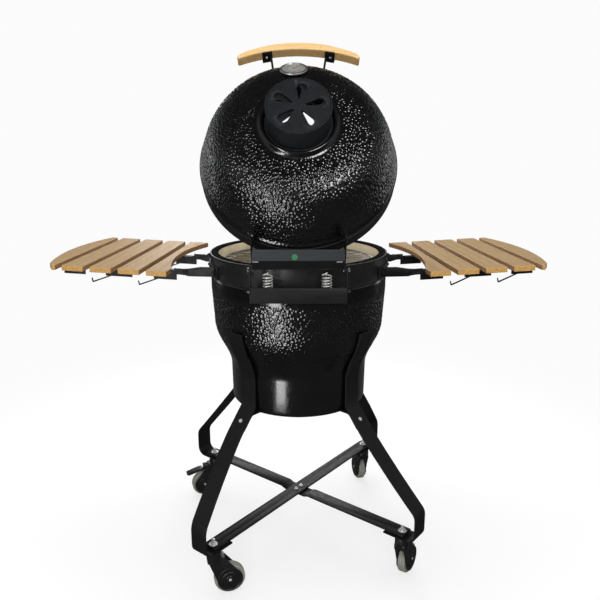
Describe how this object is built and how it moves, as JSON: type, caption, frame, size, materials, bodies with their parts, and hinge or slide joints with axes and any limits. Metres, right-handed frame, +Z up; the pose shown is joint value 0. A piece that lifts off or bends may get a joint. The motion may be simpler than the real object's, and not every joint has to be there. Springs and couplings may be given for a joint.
{
  "type": "kamado ceramic grill",
  "caption": "Egg-shaped black ceramic charcoal grill with hinged lid, top vent, draft door, folding slatted bamboo side shelves and a splayed steel cart on casters.",
  "frame": {"origin": "on the floor, under the axis of the bowl", "axes": "+Z up, -Y the front with the lid handle and draft door, +Y the lid hinge, +X towards the shelf called right"},
  "size_m": [1.4496, 0.8199, 1.5695],
  "materials": {
    "glaze": "black pebbled gloss glaze",
    "ceramic": "bare cream cordierite, slightly rough",
    "black_steel": "satin black powder coat",
    "cast_iron": "matte black",
    "stainless": "brushed",
    "zinc": "bright zinc plate",
    "bamboo": "oiled bamboo, visible lamination",
    "felt": "black heat-resistant felt",
    "tread": "grey moulded tread",
    "black_plastic": "black moulded",
    "hinge_plate": "grey-black powder coat"
  },
  "bodies": {
    "root": {"bowl_shell": "glaze", "base_band": "black_steel", "base_gasket": "felt", "fire_box": "ceramic", "fire_ring": "ceramic", "charcoal_grate": "cast_iron", "draft_door_frame": "stainless", "hinge_base": "black_steel", "hinge_pin_right": "zinc", "hinge_pin_left": "zinc", "spring_right": "zinc", "spring_left": "zinc", "cradle_cross": "black_steel", "brace_upper": "black_steel", "brace_lower": "black_steel", "shelf_right_mount": "black_steel", "shelf_left_mount": "black_steel", "leg_rear_right": "black_steel", "leg_rear_left": "black_steel", "leg_front_left": "black_steel", "leg_front_right": "black_steel", "caster_stem_rear_right": "zinc", "caster_stem_rear_left": "zinc", "caster_stem_front_left": "zinc", "caster_stem_front_right": "zinc"},
    "cooking_grid": {"cooking_grid": "stainless"},
    "lid": {"lid_shell": "glaze", "lid_band": "black_steel", "lid_gasket": "felt", "handle": "bamboo", "handle_bracket_right": "black_steel", "handle_bracket_left": "black_steel", "thermometer": "stainless", "vent_base": "cast_iron", "hinge_lid_bracket": "hinge_plate"},
    "vent_cap": {"vent_cap": "cast_iron"},
    "draft_door": {"draft_door": "stainless"},
    "ash_screen": {"ash_screen": "stainless"},
    "shelf_right": {"shelf_right_frame": "black_steel", "shelf_right_slat_1": "bamboo", "shelf_right_slat_2": "bamboo", "shelf_right_slat_3": "bamboo", "shelf_right_slat_4": "bamboo", "shelf_right_slat_5": "bamboo"},
    "shelf_left": {"shelf_left_frame": "black_steel", "shelf_left_slat_1": "bamboo", "shelf_left_slat_2": "bamboo", "shelf_left_slat_3": "bamboo", "shelf_left_slat_4": "bamboo", "shelf_left_slat_5": "bamboo"},
    "caster_rear_right": {"caster_fork_rear_right": "black_plastic"},
    "wheel_rear_right": {"wheel_rear_right": "tread"},
    "caster_rear_left": {"caster_fork_rear_left": "black_plastic"},
    "wheel_rear_left": {"wheel_rear_left": "tread"},
    "caster_front_left": {"caster_fork_front_left": "black_plastic"},
    "wheel_front_left": {"wheel_front_left": "tread"},
    "pedal_front_left": {"brake_pedal_front_left": "black_plastic"},
    "caster_front_right": {"caster_fork_front_right": "black_plastic"},
    "wheel_front_right": {"wheel_front_right": "tread"},
    "pedal_front_right": {"brake_pedal_front_right": "black_plastic"}
  },
  "joints": [
    {"name": "lid_hinge", "type": "hinge", "parent": "root", "child": "lid", "pos_m": [0, 0.308, 0.977], "axis": [1, 0, 0], "range_deg": [0, 53.3]},
    {"name": "vent_cap_turn", "type": "hinge", "parent": "lid", "child": "vent_cap", "pos_m": [0, 0.12393, 1.22395], "axis": [0, 0.8018, 0.5976], "range_deg": [-21, 15]},
    {"name": "draft_door_slide_round", "type": "hinge", "parent": "root", "child": "draft_door", "pos_m": [0, 0, 0.567], "axis": [0, 0, 1], "range_deg": [-20.5, 20.5]},
    {"name": "ash_screen_slide_round", "type": "hinge", "parent": "root", "child": "ash_screen", "pos_m": [0, 0, 0.567], "axis": [0, 0, 1], "range_deg": [-20.5, 20.5]},
    {"name": "cooking_grid_lift", "type": "slide", "parent": "root", "child": "cooking_grid", "axis": [0, 0, 1], "range_m": [0, 0.09]},
    {"name": "shelf_right_fold", "type": "hinge", "parent": "root", "child": "shelf_right", "pos_m": [0.31877, -0.03322, 0.9323], "axis": [0.1037, 0.9946, 0], "range_deg": [0, 90]},
    {"name": "shelf_left_fold", "type": "hinge", "parent": "root", "child": "shelf_left", "pos_m": [-0.31877, -0.03322, 0.9323], "axis": [0.1037, -0.9946, 0], "range_deg": [0, 90]},
    {"name": "caster_rear_right_swivel", "type": "hinge", "parent": "root", "child": "caster_rear_right", "pos_m": [0.24846, 0.31348, 0.1493], "axis": [0, 0, 1], "continuous": true},
    {"name": "wheel_rear_right_roll", "type": "hinge", "parent": "caster_rear_right", "child": "wheel_rear_right", "pos_m": [0.20596, 0.30209, 0.046], "axis": [0.2588, -0.9659, 0], "continuous": true},
    {"name": "caster_rear_left_swivel", "type": "hinge", "parent": "root", "child": "caster_rear_left", "pos_m": [-0.31348, 0.24846, 0.1493], "axis": [0, 0, 1], "continuous": true},
    {"name": "wheel_rear_left_roll", "type": "hinge", "parent": "caster_rear_left", "child": "wheel_rear_left", "pos_m": [-0.33679, 0.21114, 0.046], "axis": [0.848, -0.5299, 0], "continuous": true},
    {"name": "caster_front_left_swivel", "type": "hinge", "parent": "root", "child": "caster_front_left", "pos_m": [-0.24846, -0.31348, 0.1493], "axis": [0, 0, 1], "continuous": true},
    {"name": "wheel_front_left_roll", "type": "hinge", "parent": "caster_front_left", "child": "wheel_front_left", "pos_m": [-0.23856, -0.35635, 0.046], "axis": [0.9744, 0.225, 0], "continuous": true},
    {"name": "brake_front_left_press", "type": "hinge", "parent": "caster_front_left", "child": "pedal_front_left", "pos_m": [-0.23631, -0.36609, 0.105], "axis": [0.9744, 0.225, 0], "range_deg": [0, 12]},
    {"name": "caster_front_right_swivel", "type": "hinge", "parent": "root", "child": "caster_front_right", "pos_m": [0.31348, -0.24846, 0.1493], "axis": [0, 0, 1], "continuous": true},
    {"name": "wheel_front_right_roll", "type": "hinge", "parent": "caster_front_right", "child": "wheel_front_right", "pos_m": [0.35532, -0.23486, 0.046], "axis": [-0.309, 0.9511, 0], "continuous": true},
    {"name": "brake_front_right_press", "type": "hinge", "parent": "caster_front_right", "child": "pedal_front_right", "pos_m": [0.36483, -0.23177, 0.105], "axis": [-0.309, 0.9511, 0], "range_deg": [0, 12]}
  ]
}
